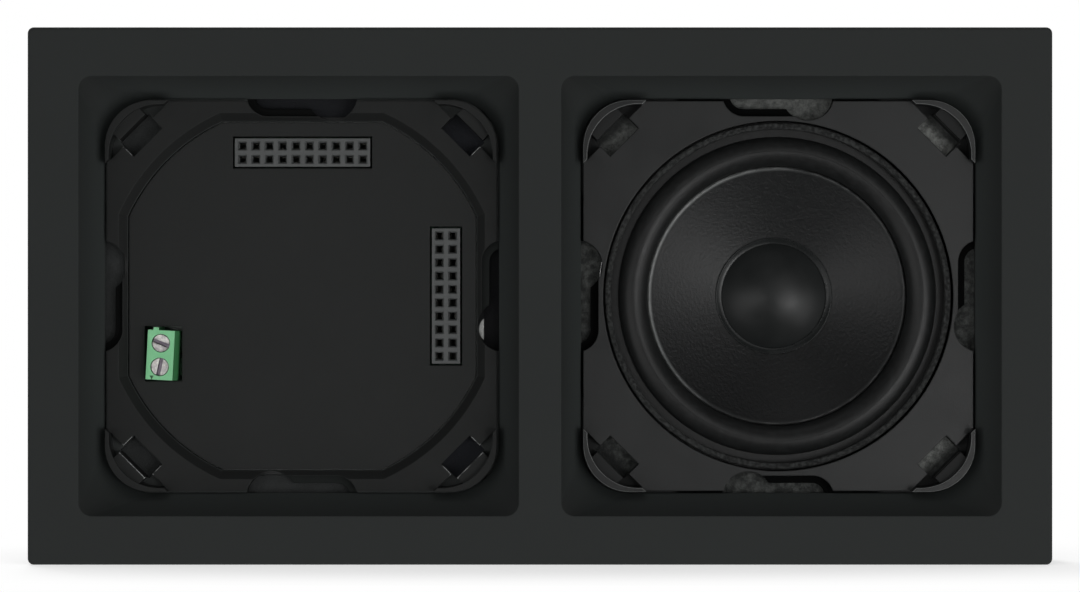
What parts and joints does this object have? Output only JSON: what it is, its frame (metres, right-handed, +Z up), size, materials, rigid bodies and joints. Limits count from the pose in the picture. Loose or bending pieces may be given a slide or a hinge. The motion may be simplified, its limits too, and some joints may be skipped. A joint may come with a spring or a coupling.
{
  "type": "in-wall radio with loudspeaker, open frame",
  "caption": "Black double wall frame with a radio insert on the left and a small cone loudspeaker insert on the right, its cover caps taken off.",
  "frame": {"origin": "middle of the double frame, on the wall plane that the frame's rear rim and the foam seals rest on", "axes": "+X to the right and +Z up as seen from the room, +Y from the room into the wall"},
  "size_m": [0.1508, 0.0376, 0.079],
  "materials": {
    "frame_thermoplastic": "fine matte moulded, black",
    "carrier_thermoplastic": "satin moulded, black",
    "housing_thermoplastic": "fine matte moulded, black",
    "black_foam": "open-cell, matte",
    "grey_foam": "open-cell, matte",
    "zinc_plated_steel": "bright zinc",
    "bare_steel": "turned, zinc",
    "black_painted_steel": "satin black paint on pressed steel",
    "circuit_board": "green solder resist",
    "terminal_polyamide": "moulded, light green",
    "socket_polyester": "moulded, dark grey",
    "mains_polyamide": "moulded, pale grey",
    "chip_epoxy": "moulded, black",
    "plated_brass": "plated",
    "copper_wire": "enamelled winding",
    "can_aluminium": "drawn",
    "ferrite": "sintered, dark grey",
    "surround_rubber": "moulded, black",
    "gasket_fibre": "rough fibre board",
    "cone_paper": "pressed paper, black",
    "former_paper": "wound paper",
    "spider_cloth": "resin-dipped woven cloth",
    "tag_laminate": "paper laminate"
  },
  "bodies": {
    "wall_unit": {"cover_frame": "frame_thermoplastic", "radio_carrier": "carrier_thermoplastic", "radio_seal": "black_foam", "radio_front_cover": "housing_thermoplastic", "radio_rear_housing": "housing_thermoplastic", "radio_screws": "zinc_plated_steel", "main_board": "circuit_board", "power_board": "circuit_board", "board_spacers": "socket_polyester", "board_screws": "zinc_plated_steel", "speaker_terminal_body": "terminal_polyamide", "speaker_terminal_screws": "zinc_plated_steel", "speaker_terminal_clamps": "plated_brass", "mains_terminal_body": "mains_polyamide", "mains_terminal_screws": "zinc_plated_steel", "tuner_shield": "bare_steel", "amplifier_chip": "chip_epoxy", "transformer_core": "ferrite", "transformer_winding": "copper_wire", "reservoir_capacitors": "can_aluminium", "board_link_socket": "chip_epoxy", "board_link_plug": "chip_epoxy", "board_link_pins": "plated_brass", "upper_socket_body": "socket_polyester", "upper_socket_contacts": "plated_brass", "side_socket_body": "socket_polyester", "side_socket_contacts": "plated_brass", "speaker_carrier": "carrier_thermoplastic", "speaker_seal": "grey_foam", "speaker_screws": "zinc_plated_steel", "speaker_basket": "black_painted_steel", "speaker_gasket": "gasket_fibre", "cone_surround": "surround_rubber", "spider": "spider_cloth", "top_plate": "bare_steel", "magnet": "ferrite", "yoke": "bare_steel", "tag_board": "tag_laminate", "solder_tags": "plated_brass", "lead_wires": "copper_wire"},
    "diaphragm": {"speaker_cone": "cone_paper", "dust_cap": "cone_paper", "coil_former": "former_paper", "voice_coil": "copper_wire"}
  },
  "joints": [
    {"name": "cone_travel", "type": "slide", "parent": "wall_unit", "child": "diaphragm", "axis": [0, 1, 0], "range_m": [-0.001, 0.001], "stiffness_N_per_m": 1500, "deforming": ["cone_surround", "spider", "lead_wires"]}
  ]
}
